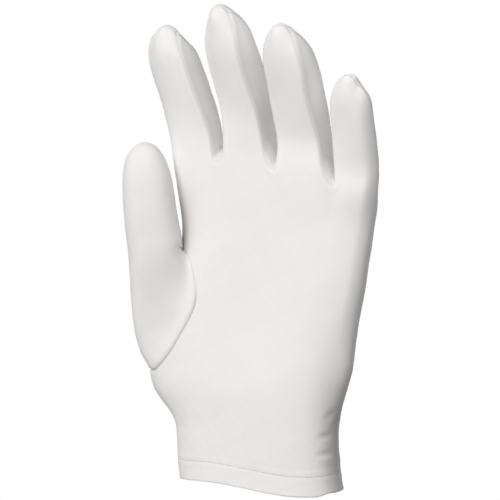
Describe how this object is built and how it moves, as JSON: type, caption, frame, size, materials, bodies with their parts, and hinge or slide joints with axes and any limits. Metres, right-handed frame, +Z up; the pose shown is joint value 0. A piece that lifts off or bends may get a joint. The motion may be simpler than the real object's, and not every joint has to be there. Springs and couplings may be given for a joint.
{
  "type": "lint-free nylon glove",
  "caption": "Thin white knitted nylon inspection glove for the left hand, cut and sewn with side walls between the fingers, a set-in thumb and a turned hem.",
  "frame": {"origin": "centre of the mouth, where the wrist goes in", "axes": "+Z up to the fingertips, -Y out of the palm, -X towards the thumb"},
  "size_m": [0.1236, 0.0542, 0.2311],
  "materials": {
    "nylon_knit": "fine white warp-knitted nylon, matt with a faint sheen",
    "fork_knit": "the same white knit, cut as side walls between the fingers",
    "hem_knit": "the same white knit turned up double, with one line of white stitches"
  },
  "bodies": {
    "root": {"palm_panel": "nylon_knit", "back_panel": "nylon_knit", "thumb": "nylon_knit", "fork_index_middle": "fork_knit", "fork_middle_ring": "fork_knit", "fork_ring_little": "fork_knit", "cuff_hem": "hem_knit"}
  },
  "joints": []
}
